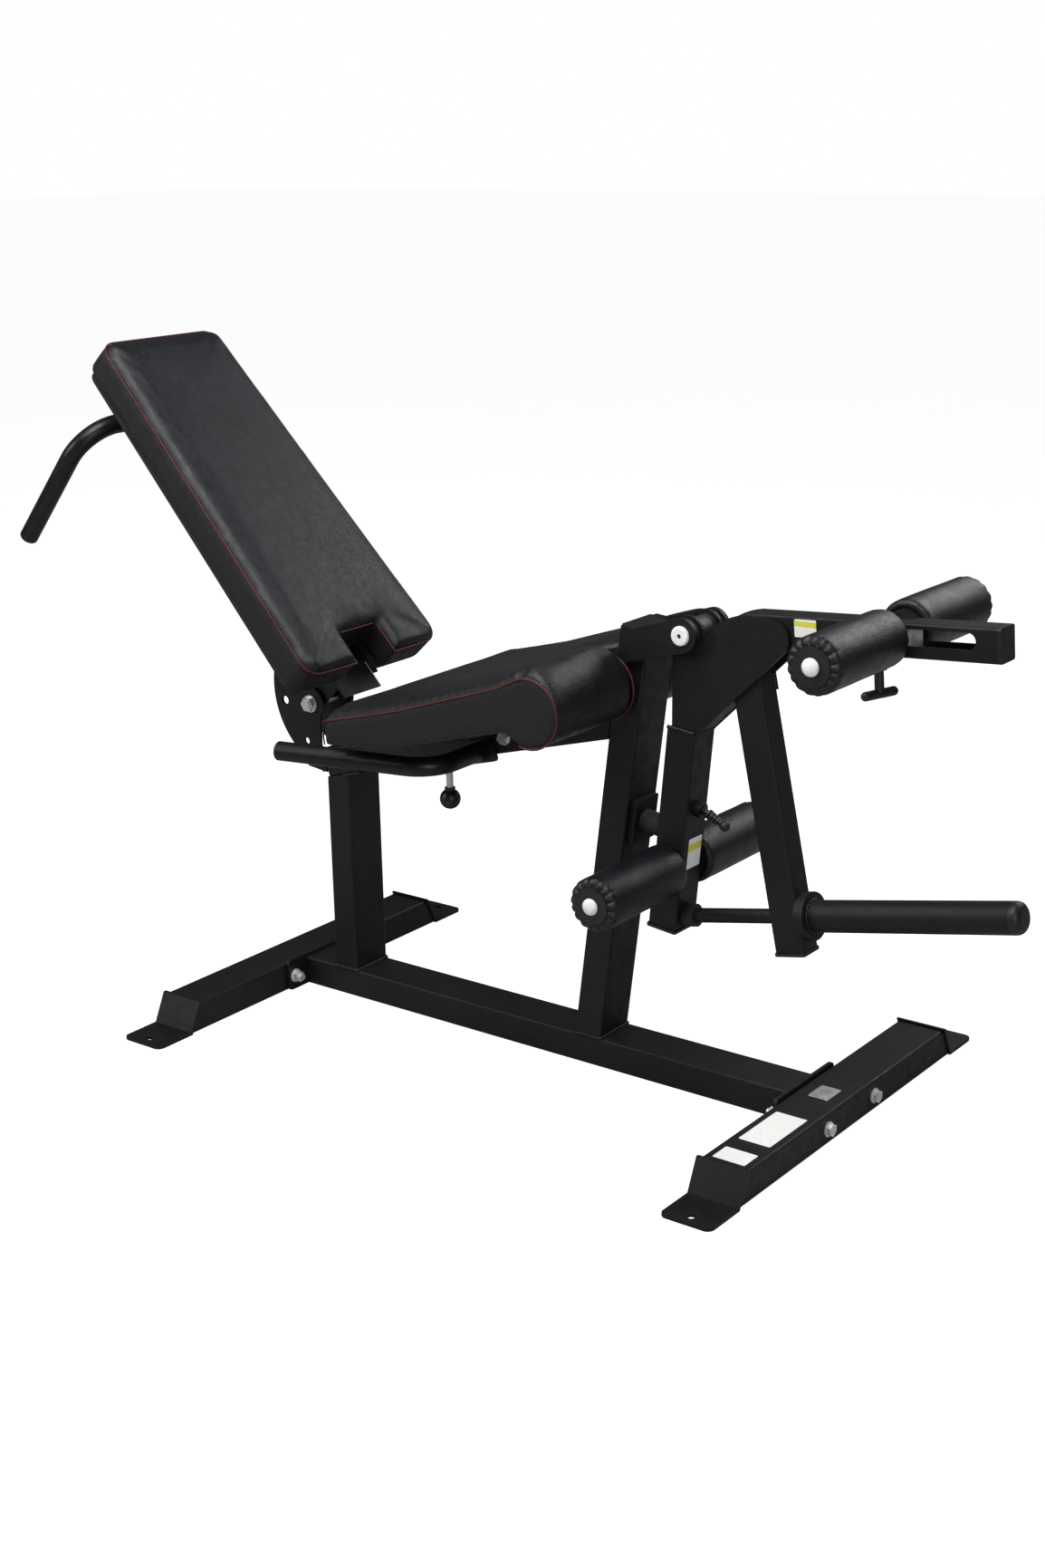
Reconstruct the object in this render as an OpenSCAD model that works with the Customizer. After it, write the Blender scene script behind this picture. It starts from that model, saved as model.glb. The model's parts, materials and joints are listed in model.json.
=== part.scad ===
// Plate-loaded gym bench for the lying leg curl and the seated leg extension.
// Millimetres. +X runs from the backrest to the lever, Y across, Z up from the floor.
// X = 0 is the centre line of the rear foot and Y = 0 the machine's middle plane.

/* [Frame] */
// Distance between the centre lines of the two feet
foot_gap = 1080; // [1060:5:1120]
// Length of a foot tube along its top edge
foot_len = 600; // [540:10:680]
// How far the slanted foot ends run out between top and floor
foot_slant = 24; // [16:1:32]
// Reach of the bolt-down tab beyond the foot tube
foot_tab = 78; // [60:1:90]
// Broad side of the frame tubes
tube_w = 80; // [80:1:80]
// Narrow side of the frame tubes
tube_h = 50; // [50:1:50]
// Wall of the tubes
wall = 3; // [2:0.5:4]
// Outside corner radius of the tubes
corner = 4; // [3.5:0.5:6]
// Centre of the rear post
rear_post_x = 140; // [130:1:150]
// Where the centre line of the leaning front post would meet the floor
front_post_x = 651; // [648:1:654]
// Forward lean of the front post in degrees
post_lean = 8; // [7.5:0.1:8.5]
// Height of the seat beam's centre line over the rear post
beam_z = 428; // [424:1:432]
// Rise of the seat beam towards the lever in degrees
beam_rise = 15.1; // [14.8:0.1:15.4]

/* [Lever] */
// Lever pivot, distance forward
pivot_x = 841.5; // [840:0.5:843]
// Lever pivot, height
pivot_z = 737; // [735.5:0.5:738.5]
// Diameter of the pivot axle
axle_d = 20; // [16:1:20]
// Tilt of the lower roller tube from the vertical in degrees
tube_tilt = 6.2; // [6:0.1:6.4]
// Lower roller axle, distance forward
low_x = 805.5; // [804.5:0.1:806.5]
// Lower roller axle, height
low_z = 361; // [360:1:362]
// Tilt of the plate leg from the vertical in degrees
leg_tilt = 11.4; // [11.2:0.1:11.6]
// Foot of the plate leg, distance forward
leg_x = 1020; // [1019:1:1021]
// Foot of the plate leg, height
leg_z = 266; // [265:1:268]
// Rise of the upper arm in degrees
arm_rise = 3.8; // [3.6:0.1:4]
// Middle of the arm's roller slot, distance forward
up_x = 1177; // [1175:1:1179]
// Centre height of the arm at the roller slot
up_z = 768.5; // [768:0.5:769]
// Diameter of the plate peg, for weight plates with a 50 mm bore
peg_d = 49; // [48:0.5:50]
// Loading length of the plate peg
peg_len = 325; // [250:5:335]
// Rise of the plate peg in degrees
peg_rise = 11.4; // [11:0.1:11.8]

/* [Rollers] */
// Outside diameter of the leg rollers
roller_d = 85; // [75:1:90]
// Length of one leg roller
roller_len = 201; // [180:1:205]
// Inner end of a leg roller from the middle plane
roller_y = 31.5; // [31.5:0.5:33]
// Diameter of the roller axles
roller_axle_d = 20; // [20:1:20]

/* [Seat] */
// Half the width of the seat pad
seat_half = 248; // [240:1:252]
// Radius of the knee rolls at the seat's front
knee_r = 53; // [50:1:55]
// How much the seat's top is crowned
seat_crown = 21; // [10:1:24]

/* [Backrest] */
// Recline of the backrest above the horizontal, as drawn
recline = 47; // [0:1:50]
// Recline pivot, distance forward
recline_x = 85; // [84:1:86]
// Recline pivot, height
recline_z = 521; // [520:1:522]
// Length of the back pad
back_len = 695; // [650:5:700]
// Width of the back pad at its lower end
back_low_w = 332; // [310:2:340]
// Width of the back pad at its head end
back_top_w = 275; // [250:1:300]
// Thickness of the back pad at its edge, with its board
back_thick = 65; // [55:1:67]
// How much the back pad is crowned
back_crown = 20; // [10:1:24]
// Distance from the recline pivot to the board's rear face
back_lift = 81; // [81:1:83]
// Diameter of the bent hand bars
bar_d = 32; // [28:1:32]

/* [Hidden] */

$fn = 48;
black = [0.07, 0.07, 0.08];
leather = [0.11, 0.11, 0.13];
plastic = [0.04, 0.04, 0.04];
rubber = [0.06, 0.06, 0.06];
zinc = [0.82, 0.83, 0.85];
plywood = [0.62, 0.48, 0.32];

half_w = tube_w / 2;
half_h = tube_h / 2;
flange_t = 6;
flange_w = 174;
flange_h = 56;
foot_half = foot_len / 2;
bolt_y = 71;
bolt_d = 12;
foot_plate_t = 5;
foot_hole_y = foot_half + foot_slant + foot_tab - 19;
foot_hole_d = 13;
post_top = 744;
ear_t = 8;
ear_r = 26;
knee_x = 706;
knee_z = 642;
slot_x = 635;
slot_half = 50;
board_t = 12;
beam_bolt_s = 375;

handle_x = 455;
handle_z = 497;
handle_bend = 60;
handle_y = 117;
handle_len = 229;
splay = 11.5;

slide_w = 70;
slide_h = 34;
sector_t = 5;
sector_y = slide_w / 2 + sector_t;
back_tube_top = back_lift - 5;
pad_foot = 16;
pad_head = pad_foot - back_len;
bar_x = -571;
bar_z = back_lift - bar_d / 2;
bar_tilt = 7;
bar_bend_r = 72;
bar_arm_y = 192;
bar_arm_len = 187;

arm_w = 44;
hub_t = 6;
hub_foot_z = 583;
guide_h = 43;
low_tube_w = 60;
low_tube_h = 50;
low_tube_bottom = -98;
low_tube_top = 225;
upper_axle_s = -9.5;
slot_z = 5;
bush_d = 26;
barrel_d = 40;
cap_d = 26;

pin_d = 12;
hole_play = 0.4;
pin_pitch = 30;
roller_pitch = 25;
seat_pin_x = 354;
lower_pin_s = 99;
upper_pin_s = -36;
recline_pin_a = 182.4;
recline_pin_r = 58.6;

// ---- helpers ----

// Points along an arc in the side view
function arc(cx, cz, r, a0, a1, n = 12) =
    [for (i = [0:n]) let (a = a0 + (a1 - a0) * i / n) [cx + r * cos(a), cz + r * sin(a)]];

// Height of the seat beam's centre line over a given X
function beam_line(x) = beam_z + (x - rear_post_x) * tan(beam_rise);

// A side-view outline (X, Z) given thickness from y0 to y1
module side(y0, y1) {
    translate([0, y1, 0]) rotate([90, 0, 0]) linear_extrude(y1 - y0) children();
}

// A frame in the side view: its own X runs at angle a above the horizontal
module at(x, z, a) {
    translate([x, 0, z]) rotate([0, -a, 0]) children();
}

// Rounded rectangle with true arcs
module section(w, h, r) {
    square([w - 2 * r, h], center = true);
    square([w, h - 2 * r], center = true);
    for (sx = [-1, 1], sy = [-1, 1])
        translate([sx * (w / 2 - r), sy * (h / 2 - r)]) circle(r);
}

// Square or flat tube along X, w across and h high
module box_tube(len, w, h, t = wall, r = corner) {
    rotate([90, 0, 90]) linear_extrude(len) difference() {
        section(w, h, r);
        section(w - 2 * t, h - 2 * t, 1);
    }
}

// Solid bar of the same section
module box_bar(len, w, h, r = corner) {
    rotate([90, 0, 90]) linear_extrude(len) section(w, h, r);
}

// Cylinder along Y from y0 to y1
module rod_y(y0, y1, d) {
    translate([0, y1, 0]) rotate([90, 0, 0]) cylinder(h = y1 - y0, d = d);
}

// Cylinder along X
module rod_x(len, d) {
    rotate([0, 90, 0]) cylinder(h = len, d = d);
}

module mirror_y() {
    children();
    mirror([0, 1, 0]) children();
}

module seat_frame() {
    at(rear_post_x, beam_z, beam_rise) children();
}

module post_frame() {
    at(front_post_x, 0, 90 - post_lean) children();
}

module tube_frame() {
    at(low_x, low_z, 90 - tube_tilt) children();
}

module leg_frame() {
    at(leg_x, leg_z, 90 + leg_tilt) children();
}

module arm_frame() {
    at(up_x, up_z, arm_rise) children();
}

// The backrest is drawn lying flat, its head towards -X, and then raised
module back_frame() {
    translate([recline_x, 0, recline_z]) rotate([0, recline, 0]) children();
}

// ---- base ----

module foot(x) {
    color(black) difference() {
        intersection() {
            translate([x, -foot_half - 60, half_h]) rotate([0, 0, 90]) box_tube(foot_len + 120, tube_w, tube_h);
            translate([x - tube_w, 0, 0]) rotate([90, 0, 90]) linear_extrude(2 * tube_w)
                polygon([[-foot_half - foot_slant, 0], [foot_half + foot_slant, 0],
                    [foot_half, tube_h], [-foot_half, tube_h]]);
        }
        for (s = [-1, 1])
            translate([x - tube_w, s * bolt_y, half_h]) rod_x(2 * tube_w, bolt_d);
    }
}

module rear_foot() { foot(0); }

module front_foot() { foot(foot_gap); }

// Bent plate that closes a foot tube and carries the floor bolt
module foot_plate() {
    lean = foot_slant / tube_h;
    lip = 3;
    out = foot_plate_t * sqrt(1 + lean * lean);
    tab_end = foot_half + foot_slant + foot_tab;
    wide = tube_w + 6;
    difference() {
        intersection() {
            translate([-wide / 2, 0, 0]) rotate([90, 0, 90]) linear_extrude(wide)
                polygon([[foot_half - lean * lip, tube_h + lip], [foot_half - lean * lip + out, tube_h + lip],
                    [foot_half + foot_slant - lean * foot_plate_t + out, foot_plate_t],
                    [tab_end, foot_plate_t], [tab_end, 0], [foot_half + foot_slant, 0]]);
            translate([0, tab_end - 100, -1]) linear_extrude(100) section(wide, 200, 12);
        }
        translate([0, foot_hole_y, -1]) cylinder(h = foot_plate_t + 2, d = foot_hole_d);
    }
}

module foot_plates() {
    color(black) for (x = [0, foot_gap])
        translate([x, 0, 0]) mirror_y() foot_plate();
}

module base_beam() {
    start = half_w + flange_t;
    color(black) translate([start, 0, half_h]) box_tube(foot_gap - 2 * start, tube_w, tube_h);
}

module beam_flanges() {
    color(black) for (x = [half_w, foot_gap - half_w - flange_t])
        difference() {
            translate([x, 0, flange_h / 2]) box_bar(flange_t, flange_w, flange_h, 8);
            for (s = [-1, 1])
                translate([x - 1, s * bolt_y, half_h]) rod_x(flange_t + 2, bolt_d);
        }
}

// Hexagon bolt along +X: head behind x = 0, washer and nut past the grip
module hex_bolt(grip, d = bolt_d) {
    rod_x(grip + d + 6, d);
    translate([-2, 0, 0]) rod_x(2, 2 * d);
    translate([-2 - 0.6 * d, 0, 0]) rotate([0, 90, 0]) cylinder(h = 0.6 * d, d = 1.75 * d, $fn = 6);
    difference() {
        union() {
            translate([grip, 0, 0]) rod_x(2, 2 * d);
            translate([grip + 2, 0, 0]) rotate([0, 90, 0]) cylinder(h = 0.85 * d, d = 1.75 * d, $fn = 6);
        }
        translate([grip - 1, 0, 0]) rod_x(d + 10, d);
    }
}

module foot_bolts() {
    grip = tube_w + flange_t;
    color(zinc) for (s = [-1, 1]) {
        translate([-half_w, s * bolt_y, half_h]) hex_bolt(grip);
        translate([foot_gap + half_w, s * bolt_y, half_h]) mirror([1, 0, 0]) hex_bolt(grip);
    }
}

module rear_post() {
    color(black) difference() {
        translate([rear_post_x, 0, tube_h]) rotate([0, -90, 0]) box_tube(beam_z, tube_w, tube_h);
        seat_frame() translate([-300, -100, -half_h]) cube([600, 200, 400]);
    }
}

module front_post() {
    color(black) difference() {
        union() {
            post_frame() box_tube(post_top - 4, tube_w, tube_h);
            post_frame() translate([post_top - 4, 0, 0]) box_bar(4, tube_w, tube_h);
        }
        translate([front_post_x - 200, -100, -100]) cube([400, 200, 100 + tube_h]);
    }
}

// ---- seat ----

module seat_beam() {
    color(black) difference() {
        seat_frame() translate([-26, 0, 0]) box_tube(660, tube_w, tube_h);
        post_frame() translate([0, -100, -300]) cube([900, 200, 300 + half_h]);
        translate([seat_pin_x, 0, beam_line(seat_pin_x) - 60]) cylinder(h = 60, d = pin_d + hole_play);
        seat_frame() translate([beam_bolt_s, 0, 0]) rod_y(-100, 100, bolt_d);
    }
}

// Button-head bolt through the seat beam
module beam_bolt() {
    color(zinc) seat_frame() translate([beam_bolt_s, 0, 0]) {
        rod_y(-half_w, half_w, bolt_d);
        mirror_y() {
            translate([0, half_w, 0]) rotate([-90, 0, 0]) cylinder(h = 2, d = 24);
            translate([0, half_w + 2, 0]) rotate([-90, 0, 0]) cylinder(h = 7, d = 19, $fn = 6);
        }
    }
}

module seat_board() {
    color(plywood) seat_frame() translate([300, -150, half_h]) cube([208, 300, board_t]);
}

// Side outline of the seat pad, along its top edge and round the knee roll
module seat_outline() {
    polygon(concat([[303, 532], [303, 571], [349, 582.5], [394, 593.5], [461, 611.5], [526, 633],
        [589, 653], [651, 674]], arc(knee_x, knee_z, knee_r, 106, -110, 20), [[660, 606.6], [420, 541.8]]));
}

// Thin slice across the seat, with its edges at height z and its crown above
module seat_slice(x, z, crown) {
    translate([x, 0, z]) rotate([90, 0, 90]) linear_extrude(0.5)
        polygon(concat([[-seat_half, -4]],
            [for (i = [-8:8]) [i / 8 * seat_half, crown * (1 - pow(abs(i) / 8, 3))]],
            [[seat_half, -4]]));
}

// Crowned top of the seat, by stations of X, edge height and share of the crown
module seat_top() {
    stations = [[303, 571, 0.4], [340, 580, 0.95], [461, 611.5, 1], [589, 653, 1], [690, 689, 1],
        [706, 695, 0.95], [730, 689, 0.75], [748, 674, 0.4], [757, 655, 0.1]];
    for (i = [0:len(stations) - 2])
        hull() for (p = [stations[i], stations[i + 1]])
            seat_slice(p[0], p[1], p[2] * seat_crown);
}

// One pad whose front is split into two knee rolls by a slot for the post
module seat_pad() {
    color(leather) difference() {
        union() {
            side(-seat_half, seat_half) seat_outline();
            seat_top();
        }
        hull() for (x = [slot_x + slot_half, 900])
            translate([x, 0, 400]) cylinder(h = 500, r = slot_half);
        seat_frame() translate([290, -152, half_h - 20]) cube([228, 304, 20 + board_t]);
    }
}

// Part of a ring in the hand bars' section, turning by the angle a from the X axis
module bar_bend(bend, a) {
    far = 4 * bend;
    intersection() {
        rotate_extrude() translate([bend, 0]) circle(d = bar_d);
        translate([0, 0, -bar_d]) linear_extrude(2 * bar_d)
            polygon([[0, 0], [far, 0], [far, far], [far * cos(a), far * sin(a)]]);
    }
}

// Where the side handle's bend starts, its Z running back along the grip
module grip_place() {
    translate([handle_x - handle_bend, -handle_y, handle_z]) rotate([0, 0, splay - 90])
        translate([handle_bend, 0, 0]) rotate([90, 0, 0]) children();
}

// Bent hand bar beside the seat, with the plate that joins it to the beam
module side_handle() {
    bar = bar_d - 0.1; // a little thinner than the bend, so that its ends reach 1 mm into it
    translate([handle_x, 0, handle_z]) rod_y(-handle_y - 1, -half_w - 2, bar);
    translate([handle_x - handle_bend, -handle_y, handle_z]) rotate([0, 0, splay - 90])
        bar_bend(handle_bend, 90 - splay);
    grip_place() translate([0, 0, -1]) cylinder(h = handle_len + 1, d = bar);
    side(-half_w - 5, -half_w) translate([handle_x + 3, handle_z]) rotate(beam_rise) section(56, 38, 5);
}

module side_handles() {
    color(black) mirror_y() side_handle();
}

module side_handle_caps() {
    color(plastic) mirror_y() grip_place() translate([0, 0, handle_len]) bar_cap();
}

// Domed plastic plug on the end of a hand bar
module bar_cap() {
    rotate_extrude() polygon(concat([[0, 0], [bar_d / 2, 0]],
        [for (a = [0:15:90]) [bar_d / 2 - 4 + 4 * cos(a), 1 + 4 * sin(a)]], [[0, 5]]));
}

// ---- pull pins ----

// Barrel that guides a pull pin, from z = 0 outwards along +Z
module pin_barrel(len, d = 22) {
    difference() {
        cylinder(h = len, d = d);
        translate([0, 0, -1]) cylinder(h = len + 2, d = pin_d + hole_play / 2);
    }
}

module seat_pin_barrel() {
    color(black) difference() {
        translate([seat_pin_x, 0, beam_line(seat_pin_x) - 48]) pin_barrel(48);
        seat_frame() translate([-300, -100, -half_h]) cube([900, 200, 400]);
    }
}

// Pull pin with a ball knob under the seat
module seat_pin() {
    top = beam_line(seat_pin_x) - slide_h / 2 - 3.2;
    ball_z = 388;
    color(plastic) translate([seat_pin_x, 0, ball_z]) union() {
        cylinder(h = top - ball_z, d = pin_d);
        sphere(d = 35);
        translate([0, 0, 12]) cylinder(h = 8, d = 18);
    }
}

// ---- backrest carriage ----

module slide_tube() {
    color(zinc) difference() {
        seat_frame() union() {
            translate([-42, 0, 0]) box_tube(394, slide_w, slide_h);
            translate([-45, 0, 0]) box_bar(3, slide_w, slide_h);
        }
        for (i = [0:4])
            seat_frame() translate([(seat_pin_x - rear_post_x) / cos(beam_rise) + i * pin_pitch, 0, -slide_h])
                cylinder(h = slide_h, d = pin_d + 2);
    }
}

module sector_outline() {
    polygon(concat([[39, 592]], arc(146, 545, 144.4, 165, 236, 20),
        [[74, 409], [116, 404], [105, 444], [104, 452]],
        arc(recline_x, recline_z, 28, -40, 62, 8)));
}

// Twin plates with the recline pivot and the two holes for the recline pin
module sector_plates() {
    color(black) difference() {
        mirror_y() side(slide_w / 2, sector_y) sector_outline();
        translate([recline_x, 0, recline_z]) rod_y(-100, 100, 16);
        for (a = [recline_pin_a - recline, recline_pin_a])
            at(recline_x, recline_z, a) translate([recline_pin_r, 0, 0]) rod_y(-100, 100, 15);
        translate([72.5, 0, 453]) rod_y(-100, 100, 12);
    }
}

// Recline pivot with its head, nut and the washers beside the lugs
module recline_bolt() {
    color(zinc) translate([recline_x, 0, recline_z]) {
        rod_y(-sector_y - 13, sector_y + 4, 16);
        translate([0, sector_y, 0]) rotate([-90, 0, 0]) cylinder(h = 2.5, d = 30);
        translate([0, sector_y + 2.5, 0]) rotate([-90, 0, 0]) cylinder(h = 9, d = 27, $fn = 6);
        difference() {
            union() {
                rod_y(-sector_y - 2.5, -sector_y, 30);
                translate([0, -sector_y - 2.5, 0]) rotate([90, 0, 0]) cylinder(h = 8, d = 26, $fn = 6);
            }
            rod_y(-60, -30, 16);
        }
        for (s = [-1, 1])
            difference() {
                translate([0, s * 33, 0]) rod_y(-1.7, 1.7, 30);
                rod_y(-60, 60, 16);
            }
    }
}

// ---- backrest ----

module back_tube() {
    color(black) back_frame() translate([bar_x + bar_d / 2 + 1, 0, back_tube_top - 25])
        box_tube(-bar_x - bar_d / 2 + pad_foot - 4, 50, 50);
}

module back_lugs() {
    color(black) back_frame() difference() {
        mirror_y() side(25, 31)
            polygon(concat([[-60, back_tube_top - 8], [-60, 40]], arc(0, 0, 22, 160, 340, 14),
                [[10, back_tube_top - 8]]));
        rod_y(-100, 100, 16.16);
    }
}

// Cross straps under the board, the foot plate that shows through its notch,
// and the arm that carries the recline pin
module back_brackets() {
    color(black) back_frame() {
        for (x = [-150, -470])
            translate([x, 0, back_lift - 5]) linear_extrude(5) section(40, 200, 6);
        translate([-78, 25, back_lift - 10]) cube([36, 28, 5]);
        translate([-78, -46, back_lift - 5]) cube([118, 92, 5]);
        difference() {
            side(47, 53) polygon(concat([[-42, back_lift - 10], [-78, back_lift - 10]],
                arc(recline_pin_r * cos(recline_pin_a), recline_pin_r * sin(recline_pin_a), 17, 190, 350, 10)));
            recline_pin_place() cylinder(h = 200, d = pin_d + hole_play / 2, center = true);
        }
    }
}

// Board and pad share one outline, head end towards -X
module back_outline(inset, r) {
    low = back_low_w / 2 - inset;
    top = back_top_w / 2 - inset;
    x0 = pad_foot - inset;
    x1 = pad_head + inset;
    polygon(concat(arc(x0 - r, low - r, r, 90, 0, 6), arc(x0 - r, -low + r, r, 0, -90, 6),
        arc(x1 + r, -top + r, r, 270, 180, 6), arc(x1 + r, top - r, r, 180, 90, 6)));
}

module back_notch(wide, deep) {
    translate([pad_foot - deep, -wide / 2, 0]) cube([deep + 60, wide, 400]);
}

module back_board() {
    color(plywood) back_frame() difference() {
        translate([0, 0, back_lift]) linear_extrude(12) back_outline(8, 24);
        back_notch(104, 62);
    }
}

module back_pad() {
    edge_z = back_lift + back_thick;
    color(leather) back_frame() difference() {
        union() {
            translate([0, 0, back_lift + 12]) linear_extrude(back_thick - 12) back_outline(0, 30);
            hull() {
                translate([0, 0, edge_z]) linear_extrude(0.5) back_outline(3, 28);
                translate([0, 0, edge_z + 0.6 * back_crown]) linear_extrude(0.5) back_outline(30, 20);
                translate([0, 0, edge_z + back_crown - 0.5]) linear_extrude(0.5) back_outline(80, 20);
            }
        }
        back_notch(98, 62);
    }
}

// Middle of the cross bar behind the pad, tilted as the hand bar is
module head_bar_place() {
    back_frame() translate([bar_x, 0, bar_z]) rotate([0, -bar_tilt, 0]) children();
}

module head_bar() {
    run = bar_arm_y - bar_bend_r;
    color(black) head_bar_place() {
        rod_y(-run, run, bar_d);
        mirror_y() {
            translate([0, run, -bar_bend_r]) rotate([0, 90, 0]) rotate([0, 0, 90]) bar_bend(bar_bend_r, 90);
            translate([0, bar_arm_y, -bar_bend_r - bar_arm_len]) cylinder(h = bar_arm_len, d = bar_d);
        }
    }
}

module head_bar_caps() {
    color(plastic) head_bar_place() mirror_y()
        translate([0, bar_arm_y, -bar_bend_r - bar_arm_len]) rotate([180, 0, 0]) bar_cap();
}

module recline_pin_place() {
    translate([recline_pin_r * cos(recline_pin_a), 53, recline_pin_r * sin(recline_pin_a)])
        rotate([-90, 0, 0]) children();
}

module recline_pin_barrel() {
    color(black) back_frame() recline_pin_place() pin_barrel(18);
}

module recline_pin() {
    color(plastic) back_frame() recline_pin_place() union() {
        translate([0, 0, -12.4]) cylinder(h = 40, d = pin_d);
        translate([0, 0, 22]) cylinder(h = 30, d = 24);
    }
}

// ---- lever ----

module pivot_ears() {
    rear_z0 = 678;
    rear_z1 = 740;
    post_rear = function(z) front_post_x + z * tan(post_lean) - half_h / cos(post_lean) + 5;
    color(black) difference() {
        mirror_y() side(half_w, half_w + ear_t)
            polygon(concat([[post_rear(rear_z0), rear_z0]], arc(pivot_x, pivot_z, ear_r, -75, 110, 16),
                [[757, 738], [post_rear(rear_z1), rear_z1]]));
        translate([pivot_x, 0, pivot_z]) rod_y(-100, 100, axle_d);
    }
}

// Pivot axle with a domed socket-head cap on each end
module lever_axle() {
    reach = half_w + ear_t;
    color(zinc) translate([pivot_x, 0, pivot_z]) {
        rod_y(-reach, reach, axle_d);
        mirror_y() translate([0, reach, 0]) rotate([-90, 0, 0]) socket_cap(30, 5);
    }
}

module socket_cap(d, h) {
    difference() {
        rotate_extrude() polygon(concat([[0, 0], [d / 2, 0]],
            [for (a = [0:15:90]) [d / 2 - 3 + 3 * cos(a), h - 3 + 3 * sin(a)]], [[0, h]]));
        translate([0, 0, h - 2.5]) cylinder(h = 4, d = 8, $fn = 6);
    }
}

module stop_plate() {
    color(black) post_frame() translate([395, -30, -half_h - 10]) cube([72, 60, 10]);
}

// Rubber buffer that the roller tube rests against
module stop_bumper() {
    color(rubber) difference() {
        post_frame() translate([431, 0, -half_h - 10]) rotate([0, 180, 0]) cylinder(h = 70, d = 36);
        tube_frame() translate([-200, -100, -60]) cube([600, 200, 60 + low_tube_h / 2 + 0.6]);
    }
}

module hub_outline() {
    polygon(concat([[813, hub_foot_z], [854, 579]], arc(985, 746, 28, -45, 80, 10),
        arc(950, 676, 100, 84, 140, 12), arc(pivot_x, pivot_z, 27, 5, 180, 12)));
}

// Two side plates and the strips that close the box between them
module hub_plates() {
    color(black) {
        difference() {
            mirror_y() side(arm_w / 2, arm_w / 2 + hub_t) hub_outline();
            translate([pivot_x, 0, pivot_z]) rod_y(-100, 100, barrel_d);
            tube_frame() translate([0, -100, -100]) cube([low_tube_top + 1, 200, 200]);
        }
        at(860, 586, 45) translate([0, -arm_w / 2, 0]) cube([74, arm_w, 4]);
        side(-arm_w / 2, arm_w / 2)
            polygon(concat(arc(950, 676, 99, 97, 138, 10), arc(950, 676, 95, 138, 97, 10)));
    }
}

module pivot_barrel() {
    color(black) translate([pivot_x, 0, pivot_z]) difference() {
        rod_y(-36.5, 36.5, barrel_d);
        rod_y(-40, 40, bush_d);
    }
}

module pivot_bushes() {
    color("white") translate([pivot_x, 0, pivot_z]) mirror_y() difference() {
        union() {
            rod_y(18, 36.5, bush_d);
            rod_y(36.5, 39.5, 36);
        }
        rod_y(0, 60, axle_d + 0.16);
    }
}

// Tube hidden inside the roller tube, welded between the hub plates
module guide_tube() {
    color(zinc) difference() {
        tube_frame() translate([14, 0, 0]) box_tube(306, arm_w, guide_h);
        for (i = [0:3])
            tube_frame() translate([lower_pin_s - i * roller_pitch, 0, -60]) cylinder(h = 60, d = pin_d + 1);
        translate([pivot_x, 0, pivot_z]) rod_y(-100, 100, barrel_d);
    }
}

module upper_arm() {
    slot_h = 24;
    slot_x0 = -50;
    slot_x1 = 125;
    color(black) arm_frame() difference() {
        translate([-235, 0, 0]) box_tube(393, arm_w, tube_h);
        for (x = [slot_x0 + slot_h / 2, slot_x1 - slot_h / 2])
            translate([x, 0, slot_z]) rod_y(-100, 100, slot_h);
        translate([slot_x0 + slot_h / 2, -100, slot_z - slot_h / 2])
            cube([slot_x1 - slot_x0 - slot_h, 200, slot_h]);
        translate([upper_pin_s, 0, -60]) cylinder(h = 60, d = pin_d + hole_play);
    }
}

module peg_leg() {
    color(black) difference() {
        leg_frame() box_tube(520, arm_w, tube_h);
        arm_frame() translate([-500, -100, -half_h]) cube([900, 200, 300]);
    }
}

// Plastic end caps of the arm and of the plate leg
module lever_caps() {
    color(plastic) {
        arm_frame() translate([158, 0, 0]) end_cap(arm_w, tube_h, 4, 0);
        leg_frame() mirror([1, 0, 0]) end_cap(arm_w, tube_h, 5, 1.5);
    }
}

// Cap for a tube w across and h high, t thick and proud by the lip all round.
// It grows along +X and has a spigot inside the tube.
module end_cap(w, h, t, lip) {
    inside = 2 * wall + 0.4;
    box_bar(t, w + 2 * lip, h + 2 * lip);
    translate([-12, 0, 0]) box_bar(12, w - inside, h - inside, 1);
}

module peg_frame() {
    at(1037, 323.1, peg_rise) children();
}

// Peg for the weight plates with its stop collar
module weight_peg() {
    color(black) difference() {
        peg_frame() union() {
            rod_x(peg_len + 13, peg_d);
            translate([-12, 0, 0]) rod_x(25, 74);
        }
        peg_frame() translate([20, 0, 0]) rod_x(peg_len, peg_d - 8);
        leg_frame() translate([-200, -100, -half_h]) cube([900, 200, 200]);
    }
}

module peg_end_cap() {
    color(plastic) peg_frame() translate([peg_len + 13, 0, 0]) rotate([0, 90, 0])
        rotate_extrude() polygon(concat([[0, 0], [peg_d / 2, 0]],
            [for (a = [0:15:90]) [peg_d / 2 - 12 + 12 * cos(a), 4 + 12 * sin(a)]], [[0, 16]]));
}

module brace_frame() {
    at(842, 283.5, 11.3) children();
}

module brace_rod() {
    color(black) difference() {
        brace_frame() rod_x(170, 23);
        leg_frame() translate([-200, -100, -half_h]) cube([900, 200, tube_h]);
    }
}

// Rubber pad on the rod that steadies the roller tube
module brace_pad() {
    color(rubber) difference() {
        brace_frame() translate([-40, 0, 0]) rod_x(40, 36);
        tube_frame() translate([-400, -100, -low_tube_h / 2 - 0.7]) cube([800, 200, 300]);
    }
}

module lower_pin_place() {
    tube_frame() translate([lower_pin_s, 0, -low_tube_h / 2]) rotate([180, 0, 0]) children();
}

module upper_pin_place() {
    arm_frame() translate([upper_pin_s, 0, -half_h]) rotate([180, 0, 0]) children();
}

module upper_pin_barrel() {
    color(black) upper_pin_place() pin_barrel(24, 24);
}

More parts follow.
